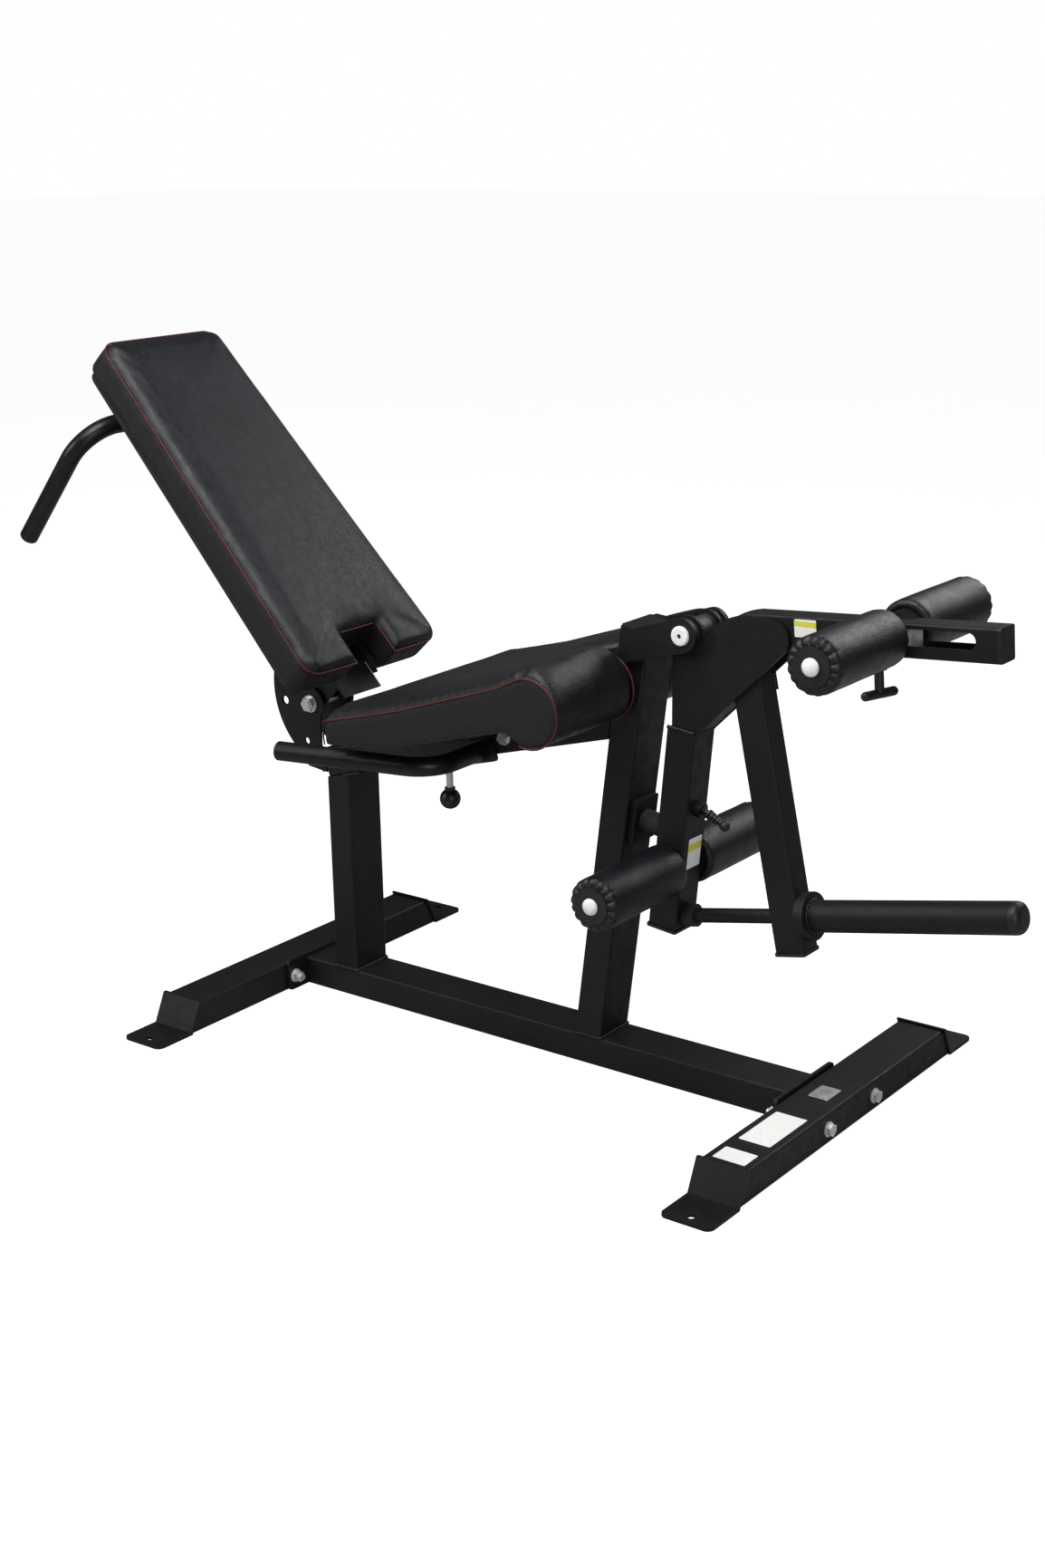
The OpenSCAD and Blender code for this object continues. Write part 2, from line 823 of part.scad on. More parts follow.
module lower_pin_barrel() {
    color(black) lower_pin_place() pin_barrel(12, 24);
}

// Pull pin of the roller tube, with a drooping ribbed grip that ends in a ball
module lower_pin() {
    grip = 39;
    color(plastic) lower_pin_place() union() {
        translate([0, 0, -2.8]) cylinder(h = 18, d = pin_d);
        translate([0, 0, 15]) rotate([0, -20.6, 0]) {
            cylinder(h = grip, d = 10);
            for (i = [0:3])
                translate([0, 0, 6 + 6 * i]) cylinder(h = 3.5, d = 16 - i);
            translate([0, 0, grip]) sphere(d = 17);
        }
    }
}

// Pull pin of the arm, with a T-handle
module upper_pin() {
    reach = 59;
    color(plastic) upper_pin_place() union() {
        translate([0, 0, -2.4]) cylinder(h = reach, d = pin_d);
        translate([0, 0, 25]) cylinder(h = reach - 25, d = 14);
        translate([0, 0, reach]) rotate([0, 0, -67]) {
            rotate([0, 90, 0]) cylinder(h = 50, d = 14, center = true);
            for (s = [-1, 1])
                translate([s * 25, 0, 0]) sphere(d = 14);
        }
    }
}

// ---- roller carriages ----

// Outer tube that carries the lower rollers and slides over the guide tube
module roller_tube() {
    color(black) difference() {
        tube_frame() translate([low_tube_bottom, 0, 0])
            box_tube(low_tube_top - low_tube_bottom, low_tube_w, low_tube_h);
        tube_frame() rod_y(-100, 100, roller_axle_d);
        tube_frame() translate([lower_pin_s, 0, -60]) cylinder(h = 60, d = pin_d + hole_play);
    }
}

module roller_tube_cap() {
    color(plastic) tube_frame() translate([low_tube_bottom, 0, 0]) mirror([1, 0, 0])
        end_cap(low_tube_w, low_tube_h, 5, 2);
}

// Through axle with a spacer collar inside and a domed cap outside each roller
module roller_axle(inner_y) {
    end_y = roller_y + roller_len;
    rod_y(-end_y - 1, end_y + 1, roller_axle_d);
    mirror_y() {
        difference() {
            rod_y(inner_y, roller_y - 0.4, 34);
            rod_y(0, 100, roller_axle_d);
        }
        translate([0, end_y + 1, 0]) rotate([-90, 0, 0]) rotate_extrude()
            polygon(concat([[0, 0], [cap_d / 2, 0]],
                [for (a = [0:15:90]) [cap_d / 2 * cos(a), 1 + 6 * sin(a)]]));
    }
}

module upper_axle_place() {
    arm_frame() translate([upper_axle_s, 0, slot_z]) children();
}

module lower_axle() {
    color(zinc) translate([low_x, 0, low_z]) roller_axle(low_tube_w / 2);
}

module upper_axle() {
    color(zinc) upper_axle_place() roller_axle(arm_w / 2 + 0.5);
}

// Block that carries the upper axle inside the arm
module slide_block() {
    color(zinc) arm_frame() difference() {
        translate([-120, 0, 0]) box_bar(145, arm_w - 2 * wall - 1, tube_h - 2 * wall - 1, 1);
        translate([upper_axle_s, 0, slot_z]) rod_y(-100, 100, roller_axle_d);
        for (i = [0:3])
            translate([upper_pin_s - i * roller_pitch, 0, -60]) cylinder(h = 56, d = pin_d + 1);
    }
}

// Plastic core of a roller: tube with a flange at each end
module core() {
    difference() {
        union() {
            rod_y(roller_y, roller_y + roller_len, 30);
            rod_y(roller_y, roller_y + 3, 58);
            rod_y(roller_y + roller_len - 3, roller_y + roller_len, 58);
        }
        rod_y(0, 400, roller_axle_d + 0.16);
    }
}

// Half section of a roller: its radius along X, its length along Y, rounded ends
module roller_section() {
    r = roller_d / 2;
    long = roller_len - 1;
    in_r = 6;
    out_r = 11;
    square([r - out_r, long]);
    square([r - in_r, long - out_r]);
    translate([0, in_r]) square([r, long - in_r - out_r]);
    translate([r - in_r, in_r]) circle(r = in_r);
    translate([r - out_r, long - out_r]) circle(r = out_r);
}

// Foam and leather of a roller, round the core
module roller() {
    difference() {
        translate([0, roller_y + 0.5, 0]) rotate([-90, 0, 0]) rotate_extrude() roller_section();
        rod_y(0, 400, 30);
        rod_y(0, roller_y + 3, 58);
        rod_y(roller_y + roller_len - 3, 400, 58);
    }
}

module lower_place() { translate([low_x, 0, low_z]) children(); }

module lower_roller_right() { color(leather) lower_place() mirror([0, 1, 0]) roller(); }

module lower_roller_left() { color(leather) lower_place() roller(); }

module upper_roller_right() { color(leather) upper_axle_place() mirror([0, 1, 0]) roller(); }

module upper_roller_left() { color(leather) upper_axle_place() roller(); }

module lower_core_right() { color(plastic) lower_place() mirror([0, 1, 0]) core(); }

module lower_core_left() { color(plastic) lower_place() core(); }

module upper_core_right() { color(plastic) upper_axle_place() mirror([0, 1, 0]) core(); }

module upper_core_left() { color(plastic) upper_axle_place() core(); }

rear_foot();
front_foot();
foot_plates();
base_beam();
beam_flanges();
foot_bolts();
rear_post();
front_post();
seat_beam();
pivot_ears();
lever_axle();
stop_plate();
stop_bumper();
seat_board();
seat_pad();
beam_bolt();
side_handles();
side_handle_caps();
seat_pin_barrel();
seat_pin();
slide_tube();
sector_plates();
recline_bolt();
back_tube();
back_lugs();
back_brackets();
back_board();
back_pad();
head_bar();
head_bar_caps();
recline_pin_barrel();
recline_pin();
hub_plates();
pivot_barrel();
pivot_bushes();
guide_tube();
upper_arm();
peg_leg();
lever_caps();
weight_peg();
peg_end_cap();
brace_rod();
brace_pad();
upper_pin_barrel();
lower_pin();
upper_pin();
roller_tube();
roller_tube_cap();
lower_pin_barrel();
lower_axle();
slide_block();
upper_axle();
lower_roller_left();
lower_roller_right();
upper_roller_left();
upper_roller_right();
lower_core_left();
lower_core_right();
upper_core_left();
upper_core_right();
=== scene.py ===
import json
import math

import bpy
from mathutils import Matrix, Vector, noise


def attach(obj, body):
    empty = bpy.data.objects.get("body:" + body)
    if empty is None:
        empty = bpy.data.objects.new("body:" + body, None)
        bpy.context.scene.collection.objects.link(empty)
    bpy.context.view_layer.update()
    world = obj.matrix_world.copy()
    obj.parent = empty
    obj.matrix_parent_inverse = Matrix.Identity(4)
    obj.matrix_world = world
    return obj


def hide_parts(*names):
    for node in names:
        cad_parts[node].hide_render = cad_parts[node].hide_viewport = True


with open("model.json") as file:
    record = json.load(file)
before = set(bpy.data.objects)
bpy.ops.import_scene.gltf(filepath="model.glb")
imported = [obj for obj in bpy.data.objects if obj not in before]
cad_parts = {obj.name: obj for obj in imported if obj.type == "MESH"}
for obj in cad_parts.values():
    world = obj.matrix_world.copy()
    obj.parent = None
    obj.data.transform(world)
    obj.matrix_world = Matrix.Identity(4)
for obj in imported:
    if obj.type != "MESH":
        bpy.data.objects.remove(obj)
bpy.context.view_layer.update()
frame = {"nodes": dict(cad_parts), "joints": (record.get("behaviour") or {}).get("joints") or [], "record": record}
NODES = frame["nodes"]
SLOTS = {p["node"]: p["material_slot"] for p in frame["record"]["subparts"]}
JOINTS = {j["name"]: j for j in frame["joints"]}
MM = 0.001


# ---------- materials ----------

class Nodes:
    """A material's node tree with short calls for the nodes used here."""

    def __init__(self, name):
        self.material = bpy.data.materials.new(name)
        self.material.use_nodes = True
        self.tree = self.material.node_tree
        self.shader = self.tree.nodes["Principled BSDF"]
        self.coords = self.tree.nodes.new("ShaderNodeTexCoord").outputs["Object"]

    def add(self, kind, inputs=(), **settings):
        node = self.tree.nodes.new(kind)
        for key, value in settings.items():
            setattr(node, key, value)
        for key, value in dict(inputs).items():
            if isinstance(value, bpy.types.NodeSocket):
                self.tree.links.new(value, node.inputs[key])
            else:
                node.inputs[key].default_value = value
        return node

    def noise(self, scale, detail=4, rough=0.55):
        inputs = {"Vector": self.coords, "Scale": scale, "Detail": detail, "Roughness": rough}
        return self.add("ShaderNodeTexNoise", inputs).outputs["Fac"]

    def cells(self, scale, feature="F1"):
        inputs = {"Vector": self.coords, "Scale": scale}
        return self.add("ShaderNodeTexVoronoi", inputs, feature=feature).outputs["Distance"]

    def ramp(self, factor, stops):
        node = self.add("ShaderNodeValToRGB", {"Fac": factor})
        elements = node.color_ramp.elements
        while len(elements) < len(stops):
            elements.new(0.5)
        for element, (place, colour) in zip(elements, stops):
            element.position = place
            element.color = (*colour, 1)
        return node.outputs["Color"]

    def grey_ramp(self, factor, low, high, start=0.3, end=0.7):
        return self.ramp(factor, [(start, (low,) * 3), (end, (high,) * 3)])

    def math(self, operation, a, b):
        return self.add("ShaderNodeMath", {0: a, 1: b}, operation=operation).outputs[0]

    def along(self, axis):
        """The point's place along an axis of the machine, in metres."""
        return self.add("ShaderNodeSeparateXYZ", {"Vector": self.coords}).outputs[axis]

    def mix(self, factor, colour, other):
        """The first colour where the factor is 0, the other where it is 1."""
        return self.add("ShaderNodeMix", {0: factor, 6: colour, 7: other}, data_type="RGBA").outputs[2]

    def bump(self, height, strength, distance, normal=None):
        inputs = {"Height": height, "Strength": strength, "Distance": distance}
        if normal is not None:
            inputs["Normal"] = normal
        return self.add("ShaderNodeBump", inputs).outputs["Normal"]

    def set(self, **inputs):
        names = {"colour": "Base Color", "rough": "Roughness", "metal": "Metallic", "normal": "Normal",
                 "specular": "Specular IOR Level"}
        for key, value in inputs.items():
            socket = self.shader.inputs[names[key]]
            if isinstance(value, bpy.types.NodeSocket):
                self.tree.links.new(value, socket)
            else:
                socket.default_value = value
        return self.material


def shade(colour, gain):
    return tuple(min(1.0, c * gain) for c in colour)


def powder_coat(name, colour, rough, grain=1.0):
    """Fine-textured baked powder: mottled tone, orange-peel bump and cloudy gloss."""
    n = Nodes(name)
    mottle = n.noise(9, 6)
    fine = n.noise(1700, 2)
    peel = n.cells(620)
    colours = n.ramp(mottle, [(0.3, shade(colour, 0.72)), (0.55, colour), (0.72, shade(colour, 1.45))])
    normal = n.bump(peel, 0.16 * grain, 0.0006)
    normal = n.bump(fine, 0.22 * grain, 0.0004, normal)
    gloss = n.grey_ramp(n.noise(46, 5), rough - 0.07, rough + 0.1)
    return n.set(colour=colours, rough=gloss, normal=normal, specular=0.34)


def metal(name, colour, rough, streak=0.1):
    """Plated steel: cloudy roughness, fine brushing and slight tarnish."""
    n = Nodes(name)
    cloud = n.noise(60, 5)
    brush = n.noise(900, 3)
    colours = n.ramp(cloud, [(0.3, shade(colour, 0.8)), (0.6, colour), (0.75, shade(colour, 1.08))])
    return n.set(colour=colours, metal=0.6, rough=n.grey_ramp(cloud, rough - 0.06, rough + 0.1),
                 normal=n.bump(brush, streak, 0.0003))


def plastic(name, colour, rough, grain=0.14):
    """Moulded plastic: fine spark-eroded grain and a soft variation of tone."""
    n = Nodes(name)
    colours = n.ramp(n.noise(25, 4), [(0.35, shade(colour, 0.8)), (0.65, shade(colour, 1.2))])
    return n.set(colour=colours, rough=n.grey_ramp(n.noise(80, 3), rough - 0.06, rough + 0.08),
                 normal=n.bump(n.cells(900), grain, 0.0004))


def leather(name, colour, rough, grain=1.0, scale=520):
    """Grained upholstery: pebbled cells with creases between them, worn tone on the broad faces."""
    n = Nodes(name)
    edges = n.cells(scale, "DISTANCE_TO_EDGE")
    pebble = n.grey_ramp(edges, 0.0, 1.0, 0.02, 0.32)
    soft = n.noise(30, 4)
    wear = n.noise(7, 6, 0.6)
    colours = n.ramp(wear, [(0.28, shade(colour, 0.75)), (0.52, colour), (0.75, shade(colour, 1.5))])
    normal = n.bump(soft, 0.18, 0.004)
    normal = n.bump(pebble, 0.32 * grain, 0.0006, normal)
    normal = n.bump(n.noise(1500, 2), 0.12, 0.0004, normal)
    return n.set(colour=colours, rough=n.grey_ramp(n.noise(60, 4), rough - 0.06, rough + 0.1), normal=normal,
                 specular=0.42)


def wood(name, colour):
    """Plywood: stretched grain across thin plies."""
    n = Nodes(name)
    stretch = n.add("ShaderNodeMapping", {"Vector": n.coords, "Scale": (3, 40, 160)}).outputs["Vector"]
    grain = n.add("ShaderNodeTexNoise", {"Vector": stretch, "Scale": 6.0, "Detail": 6.0}).outputs["Fac"]
    colours = n.ramp(grain, [(0.3, shade(colour, 0.6)), (0.6, colour), (0.8, shade(colour, 1.2))])
    return n.set(colour=colours, rough=0.75, normal=n.bump(grain, 0.2, 0.0008))


def blank_label(name, band=None):
    """Blank label of softly scuffed paper, with a yellow band between two heights if it has one."""
    n = Nodes(name)
    dirt = n.noise(120, 4)
    paper, yellow = (n.ramp(dirt, [(0.3, shade(colour, 0.9)), (0.7, colour)]) for colour in (PAPER, YELLOW))
    if band:
        height, (low, high) = n.along("Z"), band
        inside = n.math("MULTIPLY", n.math("GREATER_THAN", height, low), n.math("LESS_THAN", height, high))
        paper = n.mix(inside, paper, yellow)
    return n.set(colour=paper, rough=0.4, normal=n.bump(n.noise(400, 3), 0.06, 0.0003))


def two_tone(name, axis, limit, inner, outer, rough):
    """One colour where the point is nearer to zero along the axis than the limit, another beyond it."""
    n = Nodes(name)
    distance = n.add("ShaderNodeMath", {0: n.along(axis)}, operation="ABSOLUTE").outputs[0]
    cloud = n.noise(90, 4)
    tones = [n.ramp(cloud, [(0.3, shade(colour, 0.86)), (0.7, colour)]) for colour in (inner, outer)]
    return n.set(colour=n.mix(n.math("GREATER_THAN", distance, limit), *tones),
                 rough=n.grey_ramp(cloud, rough - 0.05, rough + 0.07),
                 normal=n.bump(n.noise(700, 2), 0.05, 0.0003))


BLACK = (0.0046, 0.0042, 0.0042)
STEEL_GREY, BRIGHT, WHITE = (0.2, 0.2, 0.205), (0.62, 0.63, 0.65), (0.96, 0.96, 0.95)
PAPER, YELLOW = (0.95, 0.95, 0.93), (0.78, 0.72, 0.06)
# Where a node changes colour: the caps of the roller axles and of the lever's axle, the top of the pin's knob.
ROLLER_CAP_Y, AXLE_CAP_Y, KNOB_TOP_Z = 0.2330, 0.0481, 0.4085
MATERIALS = {
    "frame_paint": powder_coat("frame_paint", BLACK, 0.5),
    "bar_paint": powder_coat("bar_paint", (0.006, 0.006, 0.0065), 0.34, 0.5),
    "zinc": metal("zinc", (0.78, 0.79, 0.8), 0.28),
    "bare_steel": metal("bare_steel", (0.07, 0.07, 0.072), 0.5),
    "white_caps": two_tone("white_caps", "Y", ROLLER_CAP_Y, STEEL_GREY, WHITE, 0.35),
    "plywood": wood("plywood", (0.012, 0.010, 0.009)),
    "plastic": plastic("plastic", (0.007, 0.007, 0.007), 0.46),
    "white_plastic": plastic("white_plastic", (0.82, 0.81, 0.78), 0.4),
    "rubber": plastic("rubber", (0.012, 0.012, 0.0125), 0.7, 0.3),
    "seat_leather": leather("seat_leather", (0.0082, 0.0084, 0.0105), 0.4),
    "back_leather": leather("back_leather", (0.0086, 0.0094, 0.0126), 0.4),
    "roller_leather": leather("roller_leather", (0.0055, 0.0062, 0.0085), 0.36, 1.1, 430),
}
NODE_MATERIALS = {
    "lever_axle": two_tone("lever_axle", "Y", AXLE_CAP_Y, BRIGHT, WHITE, 0.35),
    "seat_pin": two_tone("seat_pin", "Z", KNOB_TOP_Z, (0.007, 0.007, 0.007), BRIGHT, 0.4),
}
# A darker copy of the pad leather for the pads' side faces, the front slot, the notch and the rear seam: painted
# shade on faces turned away from the top light.
SHADED_SIDE_LEATHER = leather("shaded_side_leather", (0.0045, 0.004, 0.0038), 0.62, 0.8)
PIPING = leather("piping", (0.075, 0.007, 0.011), 0.45, 0.6, 900)
# The weld beads are coated a little lighter than the frame's black: painted highlight where the beads catch the
# light.
HIGHLIGHTED_WELD = powder_coat("weld", (0.008, 0.0078, 0.008), 0.3, 1.4)


# ---------- mesh helpers ----------

def new_piece(name, verts, faces, material, body, smooth=True):
    mesh = bpy.data.meshes.new(name)
    mesh.from_pydata([tuple(v) for v in verts], [], faces)
    mesh.validate()
    piece = bpy.data.objects.new(name, mesh)
    bpy.context.scene.collection.objects.link(piece)
    mesh.materials.append(material)
    for polygon in mesh.polygons:
        polygon.use_smooth = smooth
    if body:
        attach(piece, body)
    return piece


def apply_modifiers(piece):
    """Swaps the piece's mesh for what its modifiers make of it."""
    graph = bpy.context.evaluated_depsgraph_get()
    mesh = bpy.data.meshes.new_from_object(piece.evaluated_get(graph))
    piece.modifiers.clear()
    piece.data = mesh


def relax(piece, times):
    smooth = piece.modifiers.new("relax", "SMOOTH")
    smooth.factor = 0.5
    smooth.iterations = times
    apply_modifiers(piece)


def subdivide(piece):
    modifier = piece.modifiers.new("subdivide", "SUBSURF")
    modifier.levels = 1
    modifier.render_levels = 1


def tube_mesh(points, radius, closed=False, sides=10, ripple=0.0, pitch=0.004):
    """(verts, faces) of a round cord along points; ripple swells it in steps of the pitch, as a weld bead."""
    points = [Vector(p) for p in points]
    count = len(points)
    verts, faces = [], []
    side = None
    travelled = 0.0
    for i, p in enumerate(points):
        ahead = points[(i + 1) % count] if closed or i < count - 1 else p
        behind = points[i - 1] if closed or i > 0 else p
        along = (ahead - behind).normalized()
        if side is None:
            side = along.orthogonal().normalized()
        side = (side - along * side.dot(along)).normalized()
        up = along.cross(side)
        if i:
            travelled += (p - points[i - 1]).length
        r = radius * (1 + ripple * abs(math.sin(math.pi * travelled / pitch)))
        angles = [2 * math.pi * k / sides for k in range(sides)]
        verts += [p + r * (math.cos(a) * side + math.sin(a) * up) for a in angles]
    for i in range(count if closed else count - 1):
        a, b = i * sides, ((i + 1) % count) * sides
        faces += [(a + k, a + (k + 1) % sides, b + (k + 1) % sides, b + k) for k in range(sides)]
    if not closed:
        faces += [tuple(range(sides))[::-1], tuple((count - 1) * sides + k for k in range(sides))]
    return verts, faces


def resample(points, step, closed=False):
    """The same path with points about a step apart."""
    points = [Vector(p) for p in points]
    if closed:
        points = points + [points[0]]
    path = []
    for a, b in zip(points, points[1:]):
        n = max(1, round((b - a).length / step))
        path += [a.lerp(b, i / n) for i in range(n)]
    return path if closed else path + [points[-1]]


def round_corners(centres, radius, steps):
    """Outline made of quarter turns about four corner centres, anticlockwise from the +X +Y one."""
    outline = []
    for quarter, (cx, cy) in enumerate(centres):
        for i in range(steps + 1):
            angle = math.radians(90 * quarter + 90 * i / steps)
            outline.append((cx + radius * math.cos(angle), cy + radius * math.sin(angle)))
    return outline


def clamp(share):
    return max(0.0, min(1.0, share))


def side_name(side):
    return "left" if side > 0 else "right"


def arc(cx, cz, r, start, end, n):
    """Points on a circle from one angle to another, in degrees."""
    angles = [math.radians(start + (end - start) * i / n) for i in range(n + 1)]
    return [(cx + r * math.cos(a), cz + r * math.sin(a)) for a in angles]


def at(x, z, degrees):
    """Matrix of a side-view frame whose X runs at that angle above the horizontal."""
    return Matrix.Translation((x, 0, z)) @ Matrix.Rotation(-math.radians(degrees), 4, "Y")


# ---------- frames shared with the CAD ----------
# Each member's X runs along it, so that trim is placed in the member's own measures, as in part.scad.

RECLINE = 47.0
BACK = Matrix.Translation((0.085, 0, 0.521)) @ Matrix.Rotation(math.radians(RECLINE), 4, "Y")
ARM = at(1.177, 0.7685, 3.8)
TUBE = at(0.8055, 0.361, 90 - 6.2)
POST = at(0.651, 0, 82)
LEG = at(1.020, 0.266, 101.4)
SEAT_BEAM = at(0.140, 0.428, 15.1)


# ---------- soft pads ----------

PAD_VOXEL, PAD_PRESSURE, PAD_FRAMES = 0.0055, 4.0, 20
CORD_RADIUS = 0.0017


def run_cloth(piece, hold, cap, pressure, frames, bending, stretch):
    """Cloth pressure, with no point further than the cap from where it began. hold is how much each
    point stays put, from 0 to 1."""
    start = [v.co.copy() for v in piece.data.vertices]
    group = piece.vertex_groups.new(name="held")
    for i, weight in enumerate(hold):
        group.add([i], weight, "REPLACE")
    cloth = piece.modifiers.new("cloth", "CLOTH")
    cloth.settings.quality = 4
    cloth.settings.mass = 0.4
    cloth.settings.tension_stiffness = stretch
    cloth.settings.compression_stiffness = stretch
    cloth.settings.bending_stiffness = bending
    cloth.settings.use_pressure = True
    cloth.settings.uniform_pressure_force = pressure
    cloth.settings.effector_weights.gravity = 0
    cloth.settings.vertex_group_mass = "held"
    cloth.collision_settings.use_collision = False
    cloth.point_cache.frame_end = frames
    scene = bpy.context.scene
    for number in range(1, frames + 1):
        scene.frame_set(number)
    apply_modifiers(piece)
    scene.frame_set(1)
    for v, p in zip(piece.data.vertices, start):
        move = v.co - p
        if move.length > cap:
            v.co = p + move * (cap / move.length)


def inflate(piece, cap, held, sculpt):
    """Voxel remesh, sculpt, then cloth pressure up to the cap.
    held(point, normal) says how much a point stays put, from 0 to 1. sculpt(point) gives its new place."""
    remesh = piece.modifiers.new("remesh", "REMESH")
    remesh.mode = "VOXEL"
    remesh.voxel_size = PAD_VOXEL
    remesh.use_smooth_shade = True
    apply_modifiers(piece)
    relax(piece, 2)
    mesh = piece.data
    for v in mesh.vertices:
        v.co = sculpt(v.co)
    mesh.update()
    hold = [held(v.co, v.normal) for v in mesh.vertices]
    run_cloth(piece, hold, cap, PAD_PRESSURE, PAD_FRAMES, bending=2, stretch=25)
    relax(piece, 5)


def soft_copy(node, name):
    piece = bpy.data.objects.new(name, NODES[node].data.copy())
    bpy.context.scene.collection.objects.link(piece)
    return piece


def paint(piece, materials, pick):
    """Gives each face one of the materials by its centre and normal."""
    mesh = piece.data
    mesh.materials.clear()
    for material in materials:
        mesh.materials.append(material)
    for polygon in mesh.polygons:
        polygon.material_index = pick(polygon.center, polygon.normal)
        polygon.use_smooth = True


def declare_pad(piece, node, body):
    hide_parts(node)
    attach(piece, body)


# The seat's top edge in the side view, in millimetres until SEAT_LINE: a rising polyline, then the knee roll
# with the X and Z of its centre and its radius. FRONT_SLOT is the X of the slot's rounded end and its half width.
SEAT_HALF, SEAT_REAR, SEAT_CROWN = 0.248, 0.300, 0.0205
SEAT_EDGE = [(303, 571), (349, 582.5), (394, 593.5), (461, 611.5), (526, 633), (589, 653), (651, 674)]
KNEE = (706, 642, 53)
SEAT_LINE = [(x * MM, z * MM) for x, z in SEAT_EDGE + arc(*KNEE, 106, -108, 26)]
FRONT_SLOT = (0.685, 0.050)
REAR_SEAM = [(0.303, 0.571), (0.3025, 0.545), (0.304, 0.533)]


def line_distance(x, z, line):
    """Distance from a point to a polyline, in the side view."""
    best = 1.0
    for (x0, z0), (x1, z1) in zip(line, line[1:]):
        dx, dz = x1 - x0, z1 - z0
        t = clamp(((x - x0) * dx + (z - z0) * dz) / (dx * dx + dz * dz))
        best = min(best, math.hypot(x - x0 - t * dx, z - z0 - t * dz))
    return best


def seat_held(p, normal):
    if normal.z < -0.6 and p.x < 0.68:
        return 1.0
    if abs(normal.y) > 0.9 and abs(p.y) > 0.2:
        return 0.55
    edge = line_distance(p.x, p.z, SEAT_LINE)
    return 1.0 if abs(p.y) > SEAT_HALF - 0.008 and edge < 0.007 else 0.0


def seat_edge_height(x):
    """Height of the seat's top edge at that X, or None behind the seat."""
    for (x0, z0), (x1, z1) in zip(SEAT_LINE, SEAT_LINE[1:]):
        if x0 <= x <= x1:
            return z0 + (z1 - z0) * (x - x0) / (x1 - x0)
    return None


def seat_sculpt(p):
    """Rounds the shoulders of the seat's top, where the CAD solid is crowned in straight slices."""
    inward = min(SEAT_HALF - abs(p.y), p.x - SEAT_REAR)
    if p.x > FRONT_SLOT[0]:
        inward = min(inward, abs(p.y) - FRONT_SLOT[1])
    else:
        inward = min(inward, math.hypot(p.x - FRONT_SLOT[0], p.y) - FRONT_SLOT[1])
    crown = SEAT_CROWN * shoulder(inward, 0.030, 0.2)
    knee_x, knee_z, knee_r = (v * MM for v in KNEE)
    if p.x < knee_x:
        edge = seat_edge_height(p.x)
        return p if edge is None or p.z < edge else Vector((p.x, p.y, edge + crown))
    away = math.hypot(p.x - knee_x, p.z - knee_z)
    turn = math.degrees(math.atan2(p.z - knee_z, p.x - knee_x))
    if away < knee_r - 0.002 or turn < -10:
        return p
    share = clamp(turn / 90) ** 1.3
    reach = (knee_r + crown * share) / away
    return Vector((knee_x + (p.x - knee_x) * reach, p.y, knee_z + (p.z - knee_z) * reach))


def shoulder(inward, radius, reach):
    """Share of a pad's crown at a distance in from its edge: a rounded shoulder, then a slow rise."""
    near = clamp(inward / radius)
    far = clamp(inward / reach)
    return 0.8 * math.sqrt(1 - (1 - near) ** 2) + 0.2 * (1 - (1 - far) ** 2)


def sewn_cord(name, points, side, radius=CORD_RADIUS, material=PIPING):
    """Cord sewn along points on one side of the seat."""
    verts, faces = tube_mesh(resample(points, 0.006), radius, sides=8)
    new_piece(f"{name}_{side_name(side)}", verts, faces, material, "frame")


def make_seat():
    seat = soft_copy("seat_pad", "seat_cushion")
    inflate(seat, 0.003, seat_held, seat_sculpt)
    declare_pad(seat, "seat_pad", "frame")
    # Side faces and the walls of the front slot take the darker side leather: painted shade where those faces turn
    # from the light.
    paint(seat, [MATERIALS["seat_leather"], SHADED_SIDE_LEATHER],
          lambda c, n: 1 if abs(n.y) > 0.8 and (abs(c.y) > 0.2 or abs(c.y) < 0.06) else 0)
    subdivide(seat)
    for side in (-1, 1):
        y = side * (SEAT_HALF - 0.0014)
        slot_y = side * (FRONT_SLOT[1] + 0.0005)
        sewn_cord("seat_piping", [(x, y, z) for x, z in SEAT_LINE], side)
        sewn_cord("slot_piping", [(x, slot_y, z) for x, z in SEAT_LINE if x > FRONT_SLOT[0] + 0.004], side)
        # The rear seam cord takes the darker side leather too, painted shade like the sides.
        sewn_cord("rear_seam", [(x, y, z) for x, z in REAR_SEAM], side, 0.0013, SHADED_SIDE_LEATHER)


# The back pad in the backrest's own frame: its X runs from the head up to the foot, its Z out of the pad's face.
BACK_INVERSE = BACK.inverted()
BACK_EDGE_Z, BACK_CROWN = 0.146, 0.0195
BACK_FOOT, BACK_LEN = 0.016, 0.695
BACK_HEAD = BACK_FOOT - BACK_LEN
BACK_FOOT_HALF, BACK_HEAD_HALF = 0.166, 0.1375
NOTCH_HALF, NOTCH_DEEP = 0.049, 0.062


def back_half(x, inset=0.0):
    """Half width of the back pad at its own x, from foot to head."""
    t = (BACK_FOOT - x) / BACK_LEN
    return BACK_FOOT_HALF + (BACK_HEAD_HALF - BACK_FOOT_HALF) * t - inset


def back_sculpt(p):
    """Rounds the shoulders of the back pad's face, round its outline and its notch."""
    q = BACK_INVERSE @ p
    if q.z < BACK_EDGE_Z:
        return p
    inward = min(back_half(q.x) - abs(q.y), BACK_FOOT - q.x, q.x - BACK_HEAD)
    across, along = abs(q.y) - NOTCH_HALF, BACK_FOOT - NOTCH_DEEP - q.x
    notch = across if along < 0 else (along if across < 0 else math.hypot(across, along))
    inward = min(inward, notch)
    return BACK @ Vector((q.x, q.y, BACK_EDGE_Z + BACK_CROWN * shoulder(inward, 0.026, 0.13)))


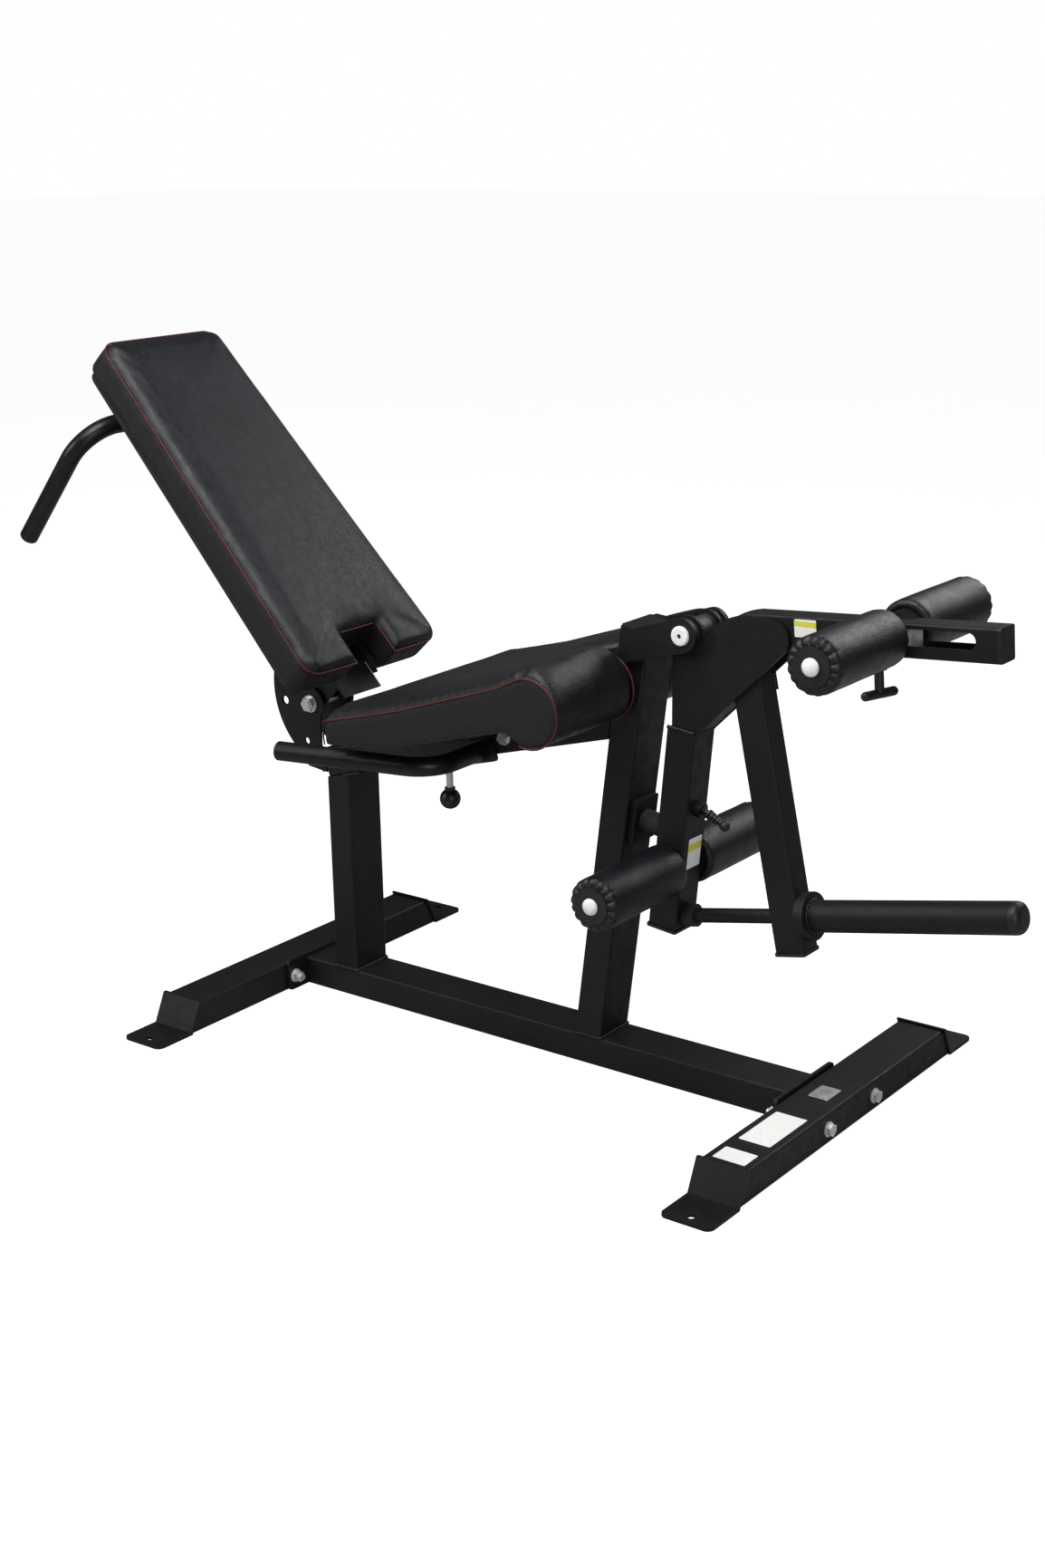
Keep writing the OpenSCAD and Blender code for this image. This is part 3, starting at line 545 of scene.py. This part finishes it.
def back_held(p, normal):
    q = BACK_INVERSE @ p
    if q.z < 0.098:
        return 1.0
    rim = abs(q.z - BACK_EDGE_Z) < 0.005
    near_edge = abs(q.y) > back_half(q.x) - 0.008 or q.x > BACK_FOOT - 0.008 or q.x < BACK_HEAD + 0.008
    if rim and near_edge:
        return 1.0
    return 0.5 if q.z < BACK_EDGE_Z - 0.004 else 0.0


def back_outline(inset, radius):
    """Outline of the back pad's front edge, with rounded corners, without the notch."""
    foot_y, head_y = (back_half(x, inset) - radius for x in (BACK_FOOT, BACK_HEAD))
    foot_x, head_x = BACK_FOOT - inset - radius, BACK_HEAD + inset + radius
    return round_corners([(foot_x, foot_y), (head_x, head_y), (head_x, -head_y), (foot_x, -foot_y)], radius, 8)


def make_back():
    pad = soft_copy("back_pad", "back_cushion")
    inflate(pad, 0.0025, back_held, back_sculpt)
    declare_pad(pad, "back_pad", "backrest")
    turn = BACK_INVERSE.to_3x3()

    # Faces below the pad's front edge that turn sideways take the darker side leather: painted shade on the pad's
    # sides and ends.
    def pick(centre, normal):
        q, n = BACK_INVERSE @ centre, turn @ normal
        return 1 if q.z < BACK_EDGE_Z - 0.002 and abs(n.z) < 0.6 else 0

    paint(pad, [MATERIALS["back_leather"], SHADED_SIDE_LEATHER], pick)
    subdivide(pad)
    notch_end = BACK_FOOT - NOTCH_DEEP
    notch = [(BACK_FOOT - 0.0005, -NOTCH_HALF), (notch_end, -NOTCH_HALF),
             (notch_end, NOTCH_HALF), (BACK_FOOT - 0.0005, NOTCH_HALF)]
    loop = [BACK @ Vector((x, y, BACK_EDGE_Z + 0.0005)) for x, y in back_outline(0.0016, 0.030) + notch]
    verts, faces = tube_mesh(resample(loop, 0.007, True), CORD_RADIUS, True, 8)
    new_piece("back_piping", verts, faces, PIPING, "backrest")


# ---------- rollers ----------

ROLLER_R, ROLLER_LEN, ROLLER_Y = 0.0425, 0.201, 0.0315
ROLLER_END = ROLLER_LEN - 0.001
ROLLER_TURNS = {"lower": 24, "upper": 7}
GATHERS, GATHER_DEEP, GATHER_LEN = 17, 0.0034, 0.022
ROLLER_CLOTH_CAP, ROLLER_CLOTH_FRAMES = 0.0008, 10


def roller_profile():
    """(radius, y) of the sleeve, from the hole in its inner end along the outside to the hole in its outer end."""
    inner_end = [(0.0295, 0.004), (0.0310, 0.0006), (0.036, 0.0004), (0.0400, 0.0016), (0.0420, 0.0048),
                 (ROLLER_R, 0.009)]
    outside = [(ROLLER_R, y) for y in (0.02, 0.04, 0.07, 0.1, 0.13, 0.155, 0.172, 0.180, 0.186)]
    edge = ROLLER_R - 0.011
    turn = [(edge + 0.011 * math.cos(a), ROLLER_END - 0.011 + 0.011 * math.sin(a))
            for a in (math.radians(d) for d in range(0, 91, 9))]
    outer_end = [(0.0305, ROLLER_END - 0.0003), (0.0297, ROLLER_END - 0.0012), (0.0293, ROLLER_END - 0.0035)]
    return inner_end + outside + turn + outer_end


def roller_mesh():
    """One roller along +Y from y = 0: a grained sleeve whose outer end is gathered into puckers."""
    around = GATHERS * 14
    profile = roller_profile()
    verts, faces = [], []
    for r, y in profile:
        gather = clamp((y - (ROLLER_END - GATHER_LEN)) / GATHER_LEN)
        depth = GATHER_DEEP * gather ** 1.6 * clamp((r - 0.0290) / 0.004)
        inner = clamp((0.016 - y) / 0.016) * 0.0007 * (1 if r > 0.031 else 0)
        for k in range(around):
            angle = 2 * math.pi * k / around
            fold = abs(math.sin(GATHERS * angle / 2 + 0.25 * math.sin(5 * angle))) ** 0.7
            wave = noise.noise(Vector((math.cos(angle) * 1.7, math.sin(angle) * 1.7, y * 22))) * 0.0006
            cut = depth * (1 - fold) + inner * (0.5 + 0.5 * math.cos(GATHERS * angle))
            radius = r - cut * 0.8 + (wave if 0.01 < y < ROLLER_END - 0.01 else 0) - 0.0007
            lift = -cut * 0.9 if y > ROLLER_END - 0.009 else 0.0
            verts.append((radius * math.cos(angle), y + lift, radius * math.sin(angle)))
    rows = len(profile)
    for i in range(rows):
        a, b = i * around, (i + 1) % rows * around
        faces += [(a + k, b + k, b + (k + 1) % around, a + (k + 1) % around) for k in range(around)]
    return verts, faces


def make_rollers():
    """Four copies of one sleeve, which a short cloth run tightens except round its bore."""
    verts, faces = roller_mesh()
    master = new_piece("roller_master", verts, faces, MATERIALS["roller_leather"], None)
    hold = [1.0 if math.hypot(v.co.x, v.co.z) < 0.0315 else 0.0 for v in master.data.vertices]
    run_cloth(master, hold, ROLLER_CLOTH_CAP, 3, ROLLER_CLOTH_FRAMES, bending=1, stretch=15)
    shape = master.data
    bpy.data.objects.remove(master)
    for pair, degrees in ROLLER_TURNS.items():
        x, _, z = JOINTS[f"{pair}_roller_left_spin"]["pos_m"]
        for side in (1, -1):
            name = f"{pair}_roller_{side_name(side)}"
            mesh = shape.copy()
            sleeve = bpy.data.objects.new(name + "_sleeve", mesh)
            bpy.context.scene.collection.objects.link(sleeve)
            mesh.transform(Matrix.Translation((x, 0, z)) @ Matrix.Diagonal((1, side, 1, 1))
                           @ Matrix.Translation((0, ROLLER_Y + 0.0005, 0))
                           @ Matrix.Rotation(math.radians(degrees), 4, "Y"))
            if side < 0:
                mesh.flip_normals()
            for polygon in mesh.polygons:
                polygon.use_smooth = True
            declare_pad(sleeve, name, name)


# ---------- trim ----------

def weld(name, points, body, radius):
    verts, faces = tube_mesh(resample(points, 0.001), radius, sides=7, ripple=0.35, pitch=0.0045)
    new_piece(name, verts, faces, HIGHLIGHTED_WELD, body)


def plate(name, matrix, size, thick, material, body, radius=0.002):
    """Thin rounded plate centred on the matrix, its face towards the matrix's Z."""
    x, y = (length / 2 - radius for length in size)
    outline = round_corners([(x, y), (-x, y), (-x, -y), (x, -y)], radius, 5)
    levels = [(0, 1.0), (thick * 0.7, 1.0), (thick, 0.985)]
    verts = [matrix @ Vector((px * share, py * share, z)) for z, share in levels for px, py in outline]
    n = len(outline)
    faces = [(a + k, a + (k + 1) % n, a + n + (k + 1) % n, a + n + k) for a in (0, n) for k in range(n)]
    faces += [tuple(range(n))[::-1], tuple(2 * n + k for k in range(n))]
    new_piece(name, verts, faces, material, body, smooth=False)


def axes(origin, x_axis, normal):
    """Matrix at the origin with its X and Z along the given directions."""
    x, z = Vector(x_axis).normalized(), Vector(normal).normalized()
    y = z.cross(x)
    m = Matrix((x, y, z)).transposed().to_4x4()
    m.translation = Vector(origin)
    return m


def make_notch_lining():
    """Dark sheets of the side leather that close the back pad's notch beside the foot plate, painted shade where
    that gap is in shadow, and a thin zinc strip on the plate's edge, a painted highlight.
    """
    for side in (-1, 1):
        # Painted shade: a dark sheet on each side of the notch, where the gap beside the foot plate is in shadow.
        place = BACK @ Matrix.Translation((-0.020, side * 0.0535, 0.0792))
        plate(f"notch_shade_sheet_{side_name(side)}", place, (0.068, 0.0145), 0.0012, SHADED_SIDE_LEATHER,
              "backrest")
    # Painted highlight: a thin bright zinc strip where the foot plate's edge catches the light.
    place = BACK @ Matrix.Translation((0.014, 0.0445, 0.0811))
    plate("foot_plate_edge_highlight", place, (0.048, 0.0016), 0.0003, MATERIALS["zinc"], "backrest", 0.0005)


LABEL_THICK = 0.0004
FOOT_LABEL_X, FOOT_TOP_Z = 1.080, 0.0501


def on_foot(y):
    """Matrix lying on top of the front foot at that Y."""
    return axes((FOOT_LABEL_X, y, FOOT_TOP_Z), (1, 0, 0), (0, 0, 1))


def make_labels():
    """Blank labels on the lever's arm, the roller tube and the front foot, and a blank name plate."""
    turn = ARM.to_3x3()
    place = ARM @ Vector((-0.140, -0.0221, 0.008))
    plate("arm_label", axes(place, turn @ Vector((1, 0, 0)), (0, -1, 0)), (0.036, 0.026), LABEL_THICK,
          blank_label("arm_label", (place.z + 0.002, place.z + 0.010)), "lever")
    turn = TUBE.to_3x3()
    place = TUBE @ Vector((0.026, 0.004, -0.0251))
    face = axes(place, turn @ Vector((-1, 0, 0)), turn @ Vector((0, 0, -1)))
    plate("tube_label", face, (0.050, 0.036), LABEL_THICK,
          blank_label("tube_label", (place.z + 0.004, place.z + 0.016)), "lower_carriage")
    paper = blank_label("foot_label")
    for name, y, size in (("long_foot_label", -0.163, (0.053, 0.108)), ("short_foot_label", -0.268, (0.054, 0.038))):
        plate(name, on_foot(y), size, LABEL_THICK, paper, "frame")
    plate("name_plate", on_foot(-0.012), (0.034, 0.044), 0.0007,
          metal("name_plate", (0.5, 0.5, 0.51), 0.35, 0.3), "frame")


def ring(centre, normal, radius, n=48):
    """Closed circle of points about the centre, square to the normal."""
    normal = Vector(normal).normalized()
    a = normal.orthogonal().normalized()
    b = normal.cross(a)
    angles = [2 * math.pi * i / n for i in range(n + 1)]
    return [Vector(centre) + radius * (math.cos(angle) * a + math.sin(angle) * b) for angle in angles]


# Weld beads on both sides of a member: name, member, distance from the middle plane, the X and Z of the
# bead's two ends in the member's frame, body and bead radius.
SIDE_WELDS = [
    ("hub_weld", TUBE, 0.0285, (0.2262, -0.024), (0.2262, 0.024), "lever", 0.0026),
    ("arm_weld", ARM, 0.0225, (-0.190, -0.0255), (-0.150, -0.0255), "lever", 0.0018),
    ("ear_weld", POST, 0.0405, (0.690, -0.0262), (0.735, -0.0262), "frame", 0.0017),
    ("leg_weld", LEG, 0.0222, (0.395, -0.0252), (0.455, -0.0252), "lever", 0.0016),
    ("beam_weld", SEAT_BEAM, 0.0405, (0.006, -0.0255), (0.046, -0.0255), "frame", 0.0018),
]
POST_HALF_Y, BASE_TOP_Z = 0.040, 0.0505


def make_axle_socket(side):
    """Flat dark disc in the middle of the lever axle's cap: painted shade standing in for its recessed socket."""
    x, _, z = JOINTS["lever_pivot"]["pos_m"]
    place = axes((x, side * 0.0506, z), (1, 0, 0), (0, side, 0))
    plate(f"axle_socket_shade_{side_name(side)}", place, (0.0068, 0.0068), 0.0003, MATERIALS["rubber"],
          "frame", 0.003)


def make_welds_and_socket_shades():
    for name, x, half in (("rear_post_weld", 0.140, 0.025), ("front_post_weld", 0.658, 0.0252)):
        corners = [(x - half, -POST_HALF_Y), (x + half, -POST_HALF_Y), (x + half, POST_HALF_Y),
                   (x - half, POST_HALF_Y), (x - half, -POST_HALF_Y)]
        weld(name, [(cx, cy, BASE_TOP_Z) for cx, cy in corners], "frame", 0.0022)
    for side in (-1, 1):
        for name, member, out, start, end, body, radius in SIDE_WELDS:
            points = [member @ Vector((x, side * out, z)) for x, z in (start, end)]
            weld(f"{name}_{side_name(side)}", points, body, radius)
        # Each axle cap gets a flat dark disc, painted shade for its socket's recess.
        make_axle_socket(side)
    weld("hub_weld_front", [TUBE @ Vector((0.2262, y, -0.0248)) for y in (-0.026, 0.026)], "lever", 0.0026)
    peg = at(1.037, 0.3231, 11.4)
    collar = ring(peg @ Vector((0.0135, 0, 0)), peg.to_3x3() @ Vector((1, 0, 0)), 0.0252)
    weld("collar_weld", collar, "lever", 0.0018)


# ---------- setting ----------

def seen_directly(tree, strength):
    """Strength as the camera sees it, and 0 for the light that it gives off."""
    seen = tree.nodes.new("ShaderNodeLightPath").outputs["Is Camera Ray"]
    product = tree.nodes.new("ShaderNodeMath")
    product.operation = "MULTIPLY"
    tree.links.new(seen, product.inputs[0])
    product.inputs[1].default_value = strength
    return product.outputs[0]


def make_stage():
    n = Nodes("studio_floor")
    n.set(colour=n.ramp(n.noise(2, 3), [(0.3, (0.38, 0.38, 0.38)), (0.7, (0.4, 0.4, 0.4))]), rough=0.95,
          normal=n.bump(n.noise(120, 3), 0.04, 0.001), specular=0.1)
    n.shader.inputs["Emission Color"].default_value = (1, 1, 1, 1)
    n.tree.links.new(seen_directly(n.tree, 0.93), n.shader.inputs["Emission Strength"])
    half = 30
    corners = [(-half, -half, 0), (half, -half, 0), (half, half, 0), (-half, half, 0)]
    new_piece("studio_floor", corners, [(0, 1, 2, 3)], n.material, None, False)


def area_light(name, place, target, size, power):
    light = bpy.data.lights.new(name, "AREA")
    light.shape = "RECTANGLE"
    light.size, light.size_y = size
    light.energy = power
    lamp = bpy.data.objects.new(name, light)
    bpy.context.scene.collection.objects.link(lamp)
    lamp.location = place
    lamp.rotation_euler = (Vector(target) - Vector(place)).to_track_quat("-Z", "Y").to_euler()


def make_lights():
    world = bpy.data.worlds.new("studio")
    bpy.context.scene.world = world
    world.use_nodes = True
    back = world.node_tree.nodes["Background"]
    back.inputs["Color"].default_value = (1, 1, 1, 1)
    glow = world.node_tree.nodes.new("ShaderNodeMath")
    glow.operation = "ADD"
    world.node_tree.links.new(seen_directly(world.node_tree, 0.9), glow.inputs[0])
    glow.inputs[1].default_value = 0.1
    world.node_tree.links.new(glow.outputs[0], back.inputs["Strength"])
    area_light("top", (0.5, -1.3, 3.3), (0.5, 0, 0.5), (2.2, 1.8), 100)
    area_light("left", (-1.9, -2.6, 1.9), (0.3, 0, 0.6), (1.4, 1.4), 34)
    area_light("right", (3.4, -2.2, 1.4), (0.7, 0, 0.5), (1.2, 1.4), 24)
    area_light("rim", (1.4, 2.8, 2.4), (0.5, 0, 0.6), (2.4, 1.2), 40)


CAMERA_PLACE = (2.5806, -2.7115, 1.4907)
CAMERA_YAW, CAMERA_PITCH, CAMERA_ROLL = 37.42, 17.12, -1.14
CAMERA_LENS, SENSOR_HEIGHT = 50.68, 36


def make_camera():
    """Camera at the photograph's viewing angle: turned left by the yaw, down by the pitch, then rolled."""
    yaw, pitch, roll = (math.radians(v) for v in (CAMERA_YAW, CAMERA_PITCH, CAMERA_ROLL))
    ahead = Vector((-math.sin(yaw) * math.cos(pitch), math.cos(yaw) * math.cos(pitch), -math.sin(pitch)))
    level = Vector((math.cos(yaw), math.sin(yaw), 0))
    upright = level.cross(ahead)
    right = math.cos(roll) * level + math.sin(roll) * upright
    up = math.cos(roll) * upright - math.sin(roll) * level
    lens = bpy.data.cameras.new("camera")
    lens.sensor_fit = "VERTICAL"
    lens.sensor_height = SENSOR_HEIGHT
    lens.lens = CAMERA_LENS
    lens.clip_end = 60
    camera = bpy.data.objects.new("camera", lens)
    camera.matrix_world = Matrix((right, up, -ahead)).transposed().to_4x4()
    camera.location = CAMERA_PLACE
    bpy.context.scene.collection.objects.link(camera)
    bpy.context.scene.camera = camera


def finish_nodes():
    """Every CAD node gets a material of its own, or its slot's."""
    for name, node in NODES.items():
        node.data.materials.clear()
        node.data.materials.append(NODE_MATERIALS.get(name) or MATERIALS[SLOTS[name]])


finish_nodes()
make_camera()
make_lights()
make_stage()
make_seat()
make_back()
make_rollers()
make_notch_lining()
make_labels()
make_welds_and_socket_shades()
bpy.context.scene.view_settings.view_transform = "Standard"
